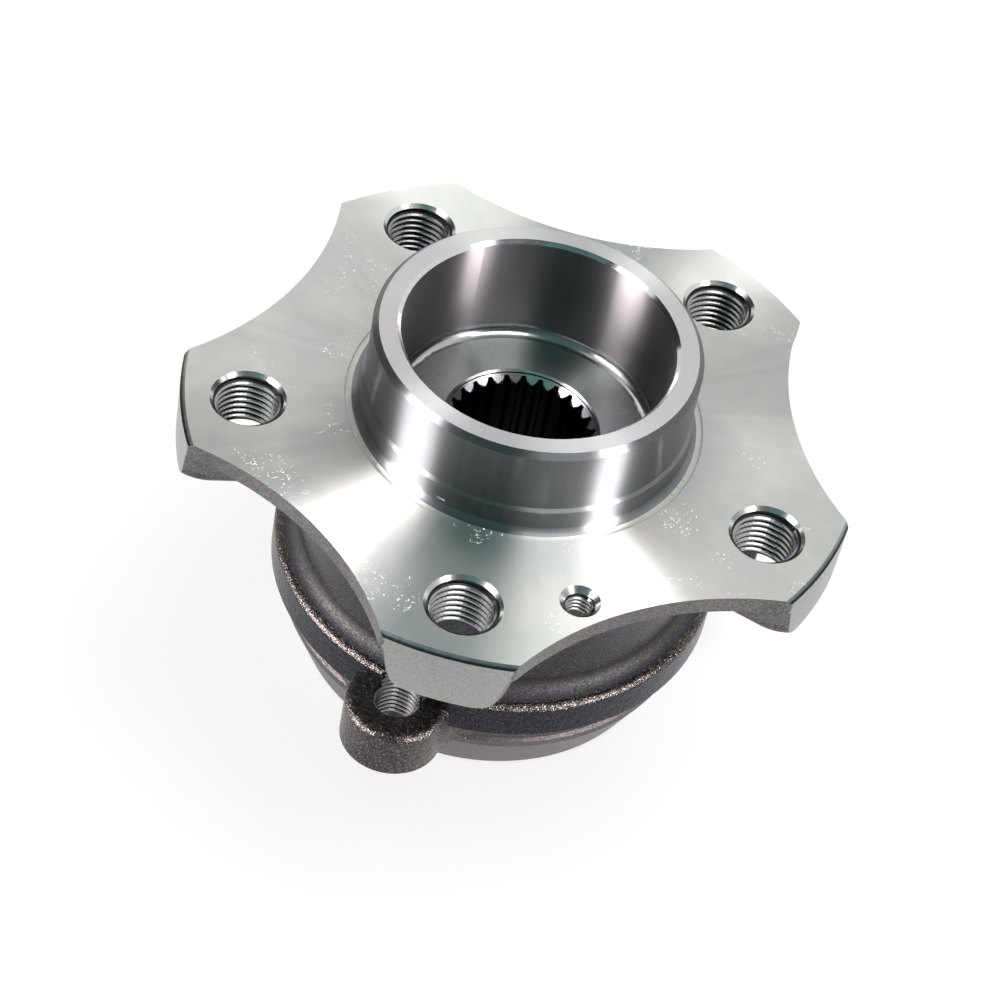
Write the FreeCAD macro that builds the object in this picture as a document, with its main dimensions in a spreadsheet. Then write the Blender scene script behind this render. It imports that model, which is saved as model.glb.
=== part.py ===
"""Driven wheel hub bearing of the third generation, with a five-lobed wheel flange.

Frame: millimetres, +Z along the hub axis towards the wheel. The origin is on that axis,
in the plane where the three ears of the outer ring meet the steering knuckle.
"""
import FreeCAD, Part
import Sketcher
import math
import os
from types import SimpleNamespace

from FreeCAD import Placement, Rotation, Vector

SHEET = "Sizes"

# How far a cut runs past the face that it opens.
PAST = 1.0

# Driving sizes. Heights are measured from the knuckle face, up towards the wheel.
SIZES = {
    # Wheel flange
    "wheel_face_height": 53.0,
    "rim_radius": 69.5,
    "rim_chamfer": 0.9,
    "web_thickness": 3.8,
    "web_root_thickness": 7.5,
    "web_root_step": 2.5,
    "web_thin_margin": 14.0,
    "lobe_count": 5.0,
    "scallop_radius": 67.0,
    "scallop_depth": 13.5,
    "lobe_corner_rounding": 1.4,
    "boss_depth": 13.0,
    "boss_half_width": 13.7,
    "boss_shoulder_inset": 6.5,
    "boss_shoulder_radius": 11.6,
    "boss_shoulder_share": 0.905,
    "boss_drum_gap": 0.2,
    "boss_root_share": 0.25,
    "boss_draft": 11.0,
    "boss_corner_margin": 0.03,
    "boss_edge_rounding": 3.0,
    # Wheel bolt and disc screw holes
    "wheel_bolt_edge": 13.5,
    "wheel_bolt_hole_radius": 7.0,
    "wheel_bolt_countersink": 0.77,
    "disc_screw_edge": 17.5,
    "disc_screw_angle": 168.0,
    "disc_screw_hole_radius": 3.0,
    "disc_screw_countersink": 1.1,
    # Wheel pilot and its recess
    "pilot_height": 20.3,
    "pilot_radius": 33.25,
    "pilot_chamfer": 1.15,
    "pilot_wall": 5.55,
    "pilot_bore_chamfer": 0.75,
    "disc_seat_height": 5.2,
    "disc_seat_step": 0.65,
    "disc_seat_fillet": 2.4,
    "relief_depth": 0.25,
    "relief_land": 0.4,
    "recess_depth": 5.0,
    "recess_fillet": 2.2,
    # Splined bore, hub stem and neck
    "spline_count": 27.0,
    "spline_depth": 1.2,
    "spline_root_share": 0.2463,
    "spline_flank_angle": 25.0,
    "bore_mouth_step": 0.3,
    "bore_mouth_depth": 0.4,
    "tail_bore_step": 0.9,
    "tail_bore_depth": 5.5,
    "stem_wall": 4.8,
    "stem_end_gap": 1.5,
    "stem_chamfer": 1.0,
    "neck_rise": 2.2,
    "neck_fillet": 2.5,
    # Balls and raceways
    "ball_radius": 6.0,
    "ball_count": 14.0,
    "race_wall": 12.0,
    "outboard_row_depth": 13.0,
    "inboard_row_depth": 15.0,
    "contact_angle": 38.0,
    "groove_conformity": 1.04,
    "race_clearance": 0.06,
    "inner_land_share": 0.95,
    "inner_shoulder_share": 0.37,
    "outer_land_share": 0.43,
    "outer_open_share": 0.97,
    # Inner ring
    "inner_ring_wall": 4.8,
    "inner_ring_reach": 6.7,
    "inner_ring_proud": 0.8,
    "inner_ring_chamfer": 1.2,
    # Outer ring
    "ring_flange_gap": 3.0,
    "outer_ring_bottom": -12.2,
    "drum_radius": 43.0,
    "drum_chamfer": 1.2,
    "collar_reach": 4.1,
    "collar_top": 14.8,
    "collar_bottom": 6.0,
    "collar_rounding": 1.4,
    "collar_edge": 0.5,
    "drum_flare": 3.6,
    "spigot_step": 1.0,
    "spigot_length": 1.4,
    "spigot_taper": 4.7,
    "waist_step": 0.6,
    "seal_bore_step": 0.7,
    "seal_bore_depth": 5.3,
    # Ears
    "ear_count": 3.0,
    "ear_spacing": 126.0,
    "middle_ear_angle": 132.2,
    "ear_bolt_reach": 5.5,
    "ear_hole_radius": 5.0,
    "ear_hole_chamfer": 0.4,
    "ear_wall": 5.5,
    "ear_flank_fillet": 8.0,
    "ear_root_depth": 2.5,
    "ear_root_angle": 20.0,
    "ear_height": 11.0,
    "ear_rounding": 1.6,
    # Cages
    "cage_inner_gap": 0.5,
    "cage_outer_gap": 2.1,
    "cage_rim": 1.2,
    "cage_prong": 2.4,
    "pocket_clearance": 0.15,
    "cage_chamfer": 0.6,
    # Seals
    "seal_sheet": 0.8,
    "lip_clearance": 0.08,
    "seal_inset": 0.3,
    "seal_flange_gap": 2.4,
    "lip_thickness": 0.7,
    "flinger_gap": 0.3,
    "slinger_sheet": 0.7,
    "slinger_inset": 1.0,
    "slinger_length": 5.2,
    "slinger_gap": 1.3,
    "encoder_thickness": 0.9,
    "encoder_inset": 1.4,
}

# Sizes that follow from the driving ones, in an order in which each finds what it needs.
FOLLOWING = {
    "wheel_bolt_circle_radius": "rim_radius - wheel_bolt_edge",
    "disc_screw_circle_radius": "rim_radius - disc_screw_edge",
    "scallop_centre_radius": "rim_radius - scallop_depth + scallop_radius",
    "web_thin_radius": "rim_radius - web_thin_margin",
    "web_root_radius": "drum_radius + web_root_step",
    "boss_inner_radius": "drum_radius + boss_drum_gap",
    "boss_shoulder_start": "rim_radius - boss_shoulder_inset",
    "boss_overlap": "web_thickness * boss_root_share",
    "boss_drop": "boss_depth - web_thickness + boss_overlap",
    "boss_corner_radius": "boss_edge_rounding + boss_drop * tan(boss_draft) + boss_corner_margin",
    "pilot_bore_radius": "pilot_radius - pilot_wall",
    "disc_seat_radius": "pilot_radius + disc_seat_step",
    "relief_radius": "disc_seat_radius + disc_seat_fillet + relief_land",
    "pitch_radius": "drum_radius - race_wall",
    "groove_radius": "ball_radius * groove_conformity",
    "inner_land_radius": "pitch_radius - ball_radius * inner_land_share",
    "inner_shoulder_radius": "pitch_radius - ball_radius * inner_shoulder_share",
    "outer_land_radius": "pitch_radius + ball_radius * outer_land_share",
    "outer_open_radius": "pitch_radius + ball_radius * outer_open_share",
    "outer_ring_top": "wheel_face_height - web_root_thickness - ring_flange_gap",
    "outboard_row_height": "outer_ring_top - outboard_row_depth",
    "inboard_row_height": "outer_ring_bottom + inboard_row_depth",
    "inner_ring_top": "inboard_row_height + inner_ring_reach",
    "inner_ring_bottom": "outer_ring_bottom - inner_ring_proud",
    "stem_radius": "inner_land_radius - inner_ring_wall",
    "spline_root_radius": "stem_radius - stem_wall",
    "spline_tip_radius": "spline_root_radius - spline_depth",
    "spline_root_half_width": "pi * spline_root_radius / spline_count * spline_root_share",
    "bore_mouth_radius": "spline_root_radius + bore_mouth_step",
    "tail_bore_radius": "spline_root_radius + tail_bore_step",
    "neck_radius": "inner_shoulder_radius + neck_rise",
    "seal_bore_radius": "outer_open_radius + seal_bore_step",
    "collar_radius": "drum_radius + collar_reach",
    "spigot_radius": "drum_radius + spigot_step",
    "spigot_tip_radius": "spigot_radius - spigot_taper",
    "waist_radius": "spigot_radius - waist_step",
    "ear_bolt_radius": "drum_radius + ear_bolt_reach",
    "ear_boss_radius": "ear_hole_radius + ear_wall",
    "ear_root_radius": "drum_radius - ear_root_depth",
    "cage_inner_radius": "inner_shoulder_radius + cage_inner_gap",
    "cage_outer_radius": "outer_open_radius - cage_outer_gap",
    "seal_flange_radius": "neck_radius + seal_flange_gap",
    "slinger_radius": "seal_bore_radius - slinger_gap",
    "encoder_inner_radius": "inner_shoulder_radius + encoder_inset",
}


class Size:
    """A length or angle that knows its number and the sheet expression that gives it."""

    def __init__(self, value, text):
        self.value = value
        self.text = text

    def __add__(self, other):
        other = as_size(other)
        return Size(self.value + other.value, "(%s + %s)" % (self.text, other.text))

    def __sub__(self, other):
        other = as_size(other)
        return Size(self.value - other.value, "(%s - %s)" % (self.text, other.text))

    def __mul__(self, other):
        other = as_size(other)
        return Size(self.value * other.value, "(%s * %s)" % (self.text, other.text))

    def __truediv__(self, other):
        other = as_size(other)
        return Size(self.value / other.value, "(%s / %s)" % (self.text, other.text))

    def __neg__(self):
        return Size(-self.value, "(0 - %s)" % self.text)


def as_size(number):
    return number if isinstance(number, Size) else Size(float(number), repr(float(number)))


def root(size):
    return Size(math.sqrt(size.value), "sqrt(%s)" % size.text)


def cosine(angle):
    return Size(math.cos(math.radians(angle.value)), "cos(%s)" % angle.text)


def sine(angle):
    return Size(math.sin(math.radians(angle.value)), "sin(%s)" % angle.text)


def tangent(angle):
    return Size(math.tan(math.radians(angle.value)), "tan(%s)" % angle.text)


def side_of(hypotenuse, other_side):
    """The remaining side of a right-angled triangle."""
    return root(hypotenuse * hypotenuse - other_side * other_side)


def make_sheet(doc):
    sheet = doc.addObject("Spreadsheet::Sheet", SHEET)
    cells = {name: str(number) for name, number in SIZES.items()}
    cells.update({name: "=" + formula for name, formula in FOLLOWING.items()})
    for row, (name, content) in enumerate(cells.items(), start=1):
        sheet.set("A%d" % row, name)
        sheet.set("B%d" % row, content)
        sheet.setAlias("B%d" % row, name)
    doc.recompute()
    return SimpleNamespace(**{name: Size(float(sheet.get(name)), "%s.%s" % (SHEET, name)) for name in cells})


def line_to(across, up):
    return SimpleNamespace(kind="line", end=(as_size(across), as_size(up)))


def arc_to(across, up, radius, centre):
    """An arc to a point. Its centre is a first place for the solver, its radius is held."""
    return SimpleNamespace(kind="arc", end=(as_size(across), as_size(up)), radius=radius, centre=centre)


def flat(point):
    return Vector(point[0].value, point[1].value, 0)


def arc_edge(start, end, centre):
    """The shorter arc from start to end round centre, always held counterclockwise."""
    first = math.atan2(start.y - centre.y, start.x - centre.x)
    last = math.atan2(end.y - centre.y, end.x - centre.x)
    turn = (last - first) % (2 * math.pi)
    backwards = turn > math.pi
    if backwards:
        first, last = last, first
    circle = Part.Circle(centre, Vector(0, 0, 1), (start - centre).Length)
    return Part.ArcOfCircle(circle, first, last), backwards


def new_body(doc, label):
    body = doc.addObject("PartDesign::Body", label)
    body.Label = label
    return body


def origin_feature(body, role):
    for feature in body.Origin.OriginFeatures:
        if feature.Role == role:
            return feature
    raise ValueError(role)


def new_sketch(body, name, role, height=None, turn=None):
    """A sketch on an origin plane, moved along its normal or turned round the hub axis."""
    sketch = body.newObject("Sketcher::SketchObject", name)
    sketch.AttachmentSupport = [(origin_feature(body, role), "")]
    sketch.MapMode = "FlatFace"
    if height is not None:
        sketch.setExpression("AttachmentOffset.Base.z", height.text)
    if turn is not None:
        sketch.AttachmentOffset = Placement(Vector(), Rotation(Vector(0, 1, 0), turn.value))
        sketch.setExpression("AttachmentOffset.Rotation.Angle", "%s * 1 deg" % turn.text)
    return sketch


def hold_point(sketch, geometry, end, point):
    """Ties one end of an edge to its two coordinates."""
    for kind, size in (("DistanceX", point[0]), ("DistanceY", point[1])):
        index = sketch.addConstraint(Sketcher.Constraint(kind, -1, 1, geometry, end, size.value))
        sketch.setExpression("Constraints[%d]" % index, size.text)


def draw_outline(sketch, start, steps, closed=False):
    """Draws an outline from start through steps and holds every corner by its sizes.

    Unless the last step already ends at the start, a straight edge closes it.
    """
    corners = [(as_size(start[0]), as_size(start[1]))] + [step.end for step in steps]
    edges = []
    backwards = []
    for begin, step in zip(corners, steps):
        if step.kind == "line":
            edges.append(Part.LineSegment(flat(begin), flat(step.end)))
            backwards.append(False)
        else:
            edge, reverse = arc_edge(flat(begin), flat(step.end), flat(step.centre))
            edges.append(edge)
            backwards.append(reverse)
    if closed:
        corners.pop()
    else:
        edges.append(Part.LineSegment(flat(corners[-1]), flat(corners[0])))
        backwards.append(False)
    first = sketch.addGeometry(edges, False)[0]
    count = len(edges)
    joints = []
    for number in range(count):
        here = first + number
        after = first + (number + 1) % count
        here_end = 1 if backwards[number] else 2
        after_start = 2 if backwards[(number + 1) % count] else 1
        joints.append(Sketcher.Constraint("Coincident", here, here_end, after, after_start))
    sketch.addConstraint(joints)
    for number, corner in enumerate(corners):
        hold_point(sketch, first + number, 2 if backwards[number] else 1, corner)
    for number, step in enumerate(steps):
        if step.kind == "arc":
            radius = as_size(step.radius)
            index = sketch.addConstraint(Sketcher.Constraint("Radius", first + number, radius.value))
            sketch.setExpression("Constraints[%d]" % index, radius.text)


def draw_axis(sketch, across):
    """A construction line parallel to the hub axis, to turn a hole or a pocket about."""
    low = (across, as_size(0.0))
    high = (across, as_size(PAST))
    index = sketch.addGeometry(Part.LineSegment(flat(low), flat(high)), True)
    hold_point(sketch, index, 1, low)
    hold_point(sketch, index, 2, high)


def revolve(body, name, start, steps):
    """A ring turned about the hub axis from an outline of radii and heights."""
    sketch = new_sketch(body, name + "_outline", "XZ_Plane")
    draw_outline(sketch, start, steps)
    feature = body.newObject("PartDesign::Revolution", name)
    feature.Profile = sketch
    feature.ReferenceAxis = (sketch, ["V_Axis"])
    feature.Angle = 360.0
    return feature


def groove_about(body, name, across, start, steps, turn=None):
    """Cuts a turned shape whose own axis stands at a distance from the hub axis."""
    sketch = new_sketch(body, name + "_outline", "XZ_Plane", turn=turn)
    draw_axis(sketch, across)
    draw_outline(sketch, start, steps)
    feature = body.newObject("PartDesign::Groove", name)
    feature.Profile = sketch
    feature.ReferenceAxis = (sketch, ["Axis0"])
    feature.Angle = 360.0
    return feature


def groove_hub(body, name, start, steps):
    """Cuts a turned shape about the hub axis."""
    sketch = new_sketch(body, name + "_outline", "XZ_Plane")
    draw_outline(sketch, start, steps)
    feature = body.newObject("PartDesign::Groove", name)
    feature.Profile = sketch
    feature.ReferenceAxis = (sketch, ["V_Axis"])
    feature.Angle = 360.0
    return feature


def repeat(body, feature, count_size, spacing=None):
    """Repeats a feature round the hub axis, evenly or at a stated spacing."""
    pattern = body.newObject("PartDesign::PolarPattern", feature.Name + "_pattern")
    pattern.Originals = [feature]
    pattern.Axis = (origin_feature(body, "Z_Axis"), [""])
    pattern.Angle = 360.0
    if spacing is not None:
        sweep = spacing * (count_size - 1.0)
        pattern.Angle = sweep.value
        pattern.setExpression("Angle", "%s * 1 deg" % sweep.text)
    pattern.Occurrences = int(round(count_size.value))
    pattern.setExpression("Occurrences", count_size.text)
    body.Tip = pattern
    return pattern


def dress(body, kind, name, base, edges, size_name, size):
    """A fillet or a chamfer on the edges that a test picked out."""
    feature = body.newObject(kind, name)
    feature.Base = (base, edges)
    setattr(feature, size_name, size.value)
    feature.setExpression(size_name, size.text)
    return feature


def pick_edges(feature, wanted):
    """Names of the edges whose points all pass a test."""
    names = []
    for number, edge in enumerate(feature.Shape.Edges, start=1):
        first, last = edge.ParameterRange
        points = [edge.valueAt(first + (last - first) * part) for part in (0.0, 0.35, 0.65, 1.0)]
        if wanted(points):
            names.append("Edge%d" % number)
    return names


def near(first, second):
    return abs(first - second) < 0.01


def radius_of(point):
    return math.hypot(point.x, point.y)


def groove_shift(d):
    """How far a groove's centre stands from the ball's, so that the contact line is at its angle."""
    gap = d.groove_radius - d.ball_radius - d.race_clearance
    return gap * cosine(d.contact_angle), gap * sine(d.contact_angle)


def inner_groove(d, row_height, towards_centre):
    """Centre of an inner groove and its ends at the low land and at the loaded shoulder."""
    out, along = groove_shift(d)
    centre_r = d.pitch_radius + out
    centre_z = row_height + along * towards_centre
    low_reach = side_of(d.groove_radius, centre_r - d.inner_land_radius)
    high_reach = side_of(d.groove_radius, centre_r - d.inner_shoulder_radius)
    low_end = (d.inner_land_radius, centre_z + low_reach * towards_centre)
    high_end = (d.inner_shoulder_radius, centre_z - high_reach * towards_centre)
    return (centre_r, centre_z), low_end, high_end


def outer_groove(d, row_height, towards_centre):
    """Centre of an outer groove and its ends at the central land and at the open side."""
    out, along = groove_shift(d)
    centre_r = d.pitch_radius - out
    centre_z = row_height - along * towards_centre
    land_reach = side_of(d.groove_radius, d.outer_land_radius - centre_r)
    open_reach = side_of(d.groove_radius, d.outer_open_radius - centre_r)
    land_end = (d.outer_land_radius, centre_z + land_reach * towards_centre)
    open_end = (d.outer_open_radius, centre_z - open_reach * towards_centre)
    return (centre_r, centre_z), land_end, open_end


def hub_profile(d):
    """Half section of the hub: stem, outboard raceway, neck, web, pilot, recess and bore."""
    stem_end = d.inner_ring_bottom + d.stem_end_gap
    groove_centre, groove_low, groove_high = inner_groove(d, d.outboard_row_height, -1.0)
    web_under = d.wheel_face_height - d.web_thickness
    web_root = d.wheel_face_height - d.web_root_thickness
    neck_low = d.outer_ring_top - d.seal_bore_depth
    neck_step = d.neck_radius - d.inner_shoulder_radius
    seat_top = d.wheel_face_height + d.disc_seat_height
    seat_step = d.disc_seat_radius - d.pilot_radius
    relief_floor = d.wheel_face_height - d.relief_depth
    fillet_foot = d.disc_seat_radius + d.disc_seat_fillet
    pilot_top = d.wheel_face_height + d.pilot_height
    recess_floor = d.wheel_face_height - d.recess_depth
    recess_corner = d.pilot_bore_radius - d.recess_fillet
    lead = d.bore_mouth_radius - d.spline_tip_radius
    mouth_foot = recess_floor - d.bore_mouth_depth * 2.0
    tail_top = stem_end + d.tail_bore_depth
    tail_lead = d.tail_bore_radius - d.spline_tip_radius
    start = (d.tail_bore_radius, stem_end)
    steps = [
        line_to(d.stem_radius - d.stem_chamfer, stem_end),
        line_to(d.stem_radius, stem_end + d.stem_chamfer),
        line_to(d.stem_radius, d.inner_ring_top),
        line_to(d.inner_land_radius, d.inner_ring_top),
        line_to(*groove_low),
        arc_to(*groove_high, d.groove_radius, groove_centre),
        line_to(d.inner_shoulder_radius, neck_low),
        line_to(d.neck_radius, neck_low + neck_step),
        line_to(d.neck_radius, web_root - d.neck_fillet),
        arc_to(d.neck_radius + d.neck_fillet, web_root, d.neck_fillet,
               (d.neck_radius + d.neck_fillet, web_root - d.neck_fillet)),
        line_to(d.web_root_radius, web_root),
        line_to(d.web_thin_radius, web_under),
        line_to(d.rim_radius, web_under),
        line_to(d.rim_radius, d.wheel_face_height - d.rim_chamfer),
        line_to(d.rim_radius - d.rim_chamfer, d.wheel_face_height),
        line_to(d.relief_radius, d.wheel_face_height),
        line_to(d.relief_radius - d.relief_depth, relief_floor),
        line_to(fillet_foot, relief_floor),
        arc_to(d.disc_seat_radius, relief_floor + d.disc_seat_fillet, d.disc_seat_fillet,
               (fillet_foot, relief_floor + d.disc_seat_fillet)),
        line_to(d.disc_seat_radius, seat_top),
        line_to(d.pilot_radius, seat_top + seat_step),
        line_to(d.pilot_radius, pilot_top - d.pilot_chamfer),
        line_to(d.pilot_radius - d.pilot_chamfer, pilot_top),
        line_to(d.pilot_bore_radius + d.pilot_bore_chamfer, pilot_top),
        line_to(d.pilot_bore_radius, pilot_top - d.pilot_bore_chamfer),
        line_to(d.pilot_bore_radius, recess_floor + d.recess_fillet),
        arc_to(recess_corner, recess_floor, d.recess_fillet,
               (recess_corner, recess_floor + d.recess_fillet)),
        line_to(d.bore_mouth_radius + d.bore_mouth_depth, recess_floor),
        line_to(d.bore_mouth_radius, recess_floor - d.bore_mouth_depth),
        line_to(d.bore_mouth_radius, mouth_foot),
        line_to(d.spline_tip_radius, mouth_foot - lead),
        line_to(d.spline_tip_radius, tail_top + tail_lead),
        line_to(d.tail_bore_radius, tail_top),
    ]
    return start, steps


def cut_scallops(doc, body, d):
    """Five round bites between the bolt lobes, with the lobes' corners rounded."""
    sketch = new_sketch(body, "scallop_outline", "XY_Plane", height=d.wheel_face_height)
    half_pitch = as_size(180.0) / d.lobe_count
    centre = (d.scallop_centre_radius * cosine(half_pitch), d.scallop_centre_radius * sine(half_pitch))
    circle = sketch.addGeometry(Part.Circle(flat(centre), Vector(0, 0, 1), d.scallop_radius.value), False)
    hold_point(sketch, circle, 3, centre)
    index = sketch.addConstraint(Sketcher.Constraint("Radius", circle, d.scallop_radius.value))
    sketch.setExpression("Constraints[%d]" % index, d.scallop_radius.text)
    scallop = body.newObject("PartDesign::Pocket", "scallop")
    scallop.Profile = sketch
    depth = d.web_thickness + PAST
    scallop.Length = depth.value
    scallop.setExpression("Length", depth.text)
    doc.recompute()
    pattern = repeat(body, scallop, d.lobe_count)
    doc.recompute()

    def is_lobe_corner(points):
        upright = near(points[0].x, points[-1].x) and near(points[0].y, points[-1].y)
        tall = abs(points[0].z - points[-1].z) > 0.5 * d.web_thickness.value
        return upright and tall and near(radius_of(points[0]), d.rim_radius.value)

    corners = pick_edges(pattern, is_lobe_corner)
    rounding = dress(body, "PartDesign::Fillet", "lobe_corners", pattern, corners, "Radius",
                     d.lobe_corner_rounding)
    doc.recompute()
    return rounding


def add_bosses(doc, body, d):
    """Drafted bosses under the lobes carry the wheel bolts' threads."""
    top = d.wheel_face_height - d.web_thickness + d.boss_overlap
    sketch = new_sketch(body, "boss_outline", "XY_Plane", height=top)
    inner = d.boss_inner_radius
    corner = d.boss_corner_radius
    half = d.boss_half_width
    bend = d.boss_shoulder_radius
    start = d.boss_shoulder_start
    reach = start + bend * d.boss_shoulder_share
    tip_half = half - bend + side_of(bend, reach - start)
    draw_outline(sketch, (reach, -tip_half), [
        line_to(reach, tip_half),
        arc_to(start, half, bend, (start, half - bend)),
        line_to(inner + corner, half),
        arc_to(inner, half - corner, corner, (inner + corner, half - corner)),
        line_to(inner, corner - half),
        arc_to(inner + corner, -half, corner, (inner + corner, corner - half)),
        line_to(start, -half),
        arc_to(reach, -tip_half, bend, (start, bend - half)),
    ], closed=True)
    boss = body.newObject("PartDesign::Pad", "boss")
    boss.Profile = sketch
    boss.Reversed = True
    boss.Length = d.boss_drop.value
    boss.setExpression("Length", d.boss_drop.text)
    boss.TaperAngle = -d.boss_draft.value
    boss.setExpression("TaperAngle", (-d.boss_draft).text)
    doc.recompute()
    repeat(body, boss, d.lobe_count)
    doc.recompute()
    low = d.wheel_face_height - d.boss_depth - PAST
    high = d.wheel_face_height - d.rim_chamfer - d.boss_overlap
    clear = reach + half
    trim = groove_hub(body, "rim_turning", (d.rim_radius, low), [
        line_to(clear, low),
        line_to(clear, high),
        line_to(d.rim_radius, high),
    ])
    body.Tip = trim
    doc.recompute()
    foot = d.wheel_face_height.value - d.boss_depth.value

    def is_boss_foot(points):
        in_plane = all(near(point.z, foot) for point in points)
        return in_plane and not near(radius_of(points[1]), d.rim_radius.value)

    edges = pick_edges(trim, is_boss_foot)
    rounding = dress(body, "PartDesign::Fillet", "boss_edges", trim, edges, "Radius", d.boss_edge_rounding)
    doc.recompute()
    return rounding


def drill(body, name, d, across, radius, countersink, bottom, turn=None):
    """A countersunk hole through the flange, open above its face."""
    face = d.wheel_face_height
    above = face + PAST
    return groove_about(body, name, across, (across, bottom), [
        line_to(across + radius, bottom),
        line_to(across + radius, face - countersink),
        line_to(across + radius + countersink + PAST, above),
        line_to(across, above),
    ], turn)


def cut_spline(doc, body, d):
    """Tooth spaces of the splined bore, cut from the recess floor down."""
    sketch = new_sketch(body, "tooth_space_outline", "XY_Plane",
                        height=d.wheel_face_height - d.recess_depth)
    inner = d.spline_tip_radius - d.spline_depth / 2.0
    flare = (d.spline_root_radius - inner) * tangent(d.spline_flank_angle)
    wide = d.spline_root_half_width + flare
    draw_outline(sketch, (inner, -wide), [
        line_to(d.spline_root_radius, -d.spline_root_half_width),
        line_to(d.spline_root_radius, d.spline_root_half_width),
        line_to(inner, wide),
    ])
    space = body.newObject("PartDesign::Pocket", "tooth_space")
    space.Profile = sketch
    space.Type = "ThroughAll"
    doc.recompute()
    pattern = repeat(body, space, d.spline_count)
    doc.recompute()
    return pattern


def make_hub(doc, d):
    """The rotating flange and stem, with the outboard raceway ground on it."""
    body = new_body(doc, "hub")
    revolve(body, "hub_turning", *hub_profile(d))
    doc.recompute()
    cut_scallops(doc, body, d)
    add_bosses(doc, body, d)
    below = d.wheel_face_height - d.boss_depth - PAST
    holes = drill(body, "wheel_bolt_hole", d, d.wheel_bolt_circle_radius, d.wheel_bolt_hole_radius,
                  d.wheel_bolt_countersink, below)
    doc.recompute()
    repeat(body, holes, d.lobe_count)
    doc.recompute()
    screw = drill(body, "disc_screw_hole", d, d.disc_screw_circle_radius, d.disc_screw_hole_radius,
                  d.disc_screw_countersink, d.wheel_face_height - d.web_root_thickness - PAST,
                  turn=d.disc_screw_angle)
    body.Tip = screw
    doc.recompute()
    cut_spline(doc, body, d)
    return body


def make_inner_ring(doc, d):
    """The pressed-on inner ring with the inboard raceway."""
    body = new_body(doc, "inner_ring")
    groove_centre, groove_low, groove_high = inner_groove(d, d.inboard_row_height, 1.0)
    chamfer = d.inner_ring_chamfer
    revolve(body, "inner_ring_turning", (d.stem_radius, d.inner_ring_bottom), [
        line_to(d.inner_shoulder_radius - chamfer, d.inner_ring_bottom),
        line_to(d.inner_shoulder_radius, d.inner_ring_bottom + chamfer),
        line_to(*groove_high),
        arc_to(*groove_low, d.groove_radius, groove_centre),
        line_to(d.inner_land_radius, d.inner_ring_top),
        line_to(d.stem_radius, d.inner_ring_top),
    ])
    doc.recompute()
    return body


def outer_ring_profile(d):
    """Half section of the outer ring: spigot, collar, drum, seal bores and two raceways."""
    upper_centre, upper_land, upper_open = outer_groove(d, d.outboard_row_height, -1.0)
    lower_centre, lower_land, lower_open = outer_groove(d, d.inboard_row_height, 1.0)
    shoulder = d.collar_radius - d.collar_rounding
    upper_seal_floor = d.outer_ring_top - d.seal_bore_depth
    lower_seal_floor = d.outer_ring_bottom + d.seal_bore_depth
    flare_foot = d.drum_radius + d.drum_flare
    collar_step = (flare_foot - shoulder)
    start = (d.seal_bore_radius, d.outer_ring_bottom)
    steps = [
        line_to(d.spigot_tip_radius, d.outer_ring_bottom),
        line_to(d.spigot_radius, -d.spigot_length),
        line_to(d.spigot_radius, 0.0),
        line_to(d.waist_radius, d.spigot_radius - d.waist_radius),
        line_to(d.waist_radius, d.collar_bottom),
        line_to(d.collar_radius - d.collar_edge, d.collar_bottom),
        line_to(d.collar_radius, d.collar_bottom + d.collar_edge),
        line_to(d.collar_radius, d.collar_top - d.collar_rounding),
        arc_to(shoulder, d.collar_top, d.collar_rounding,
               (shoulder, d.collar_top - d.collar_rounding)),
        arc_to(d.drum_radius, d.collar_top + d.drum_flare + collar_step, d.drum_flare,
               (d.drum_radius + d.drum_flare, d.collar_top + d.drum_flare + collar_step)),
        line_to(d.drum_radius, d.outer_ring_top - d.drum_chamfer),
        line_to(d.drum_radius - d.drum_chamfer, d.outer_ring_top),
        line_to(d.seal_bore_radius, d.outer_ring_top),
        line_to(d.seal_bore_radius, upper_seal_floor),
        line_to(d.outer_open_radius, upper_seal_floor),
        line_to(*upper_open),
        arc_to(*upper_land, d.groove_radius, upper_centre),
        line_to(*lower_land),
        arc_to(*lower_open, d.groove_radius, lower_centre),
        line_to(d.outer_open_radius, lower_seal_floor),
        line_to(d.seal_bore_radius, lower_seal_floor),
    ]
    return start, steps


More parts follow.
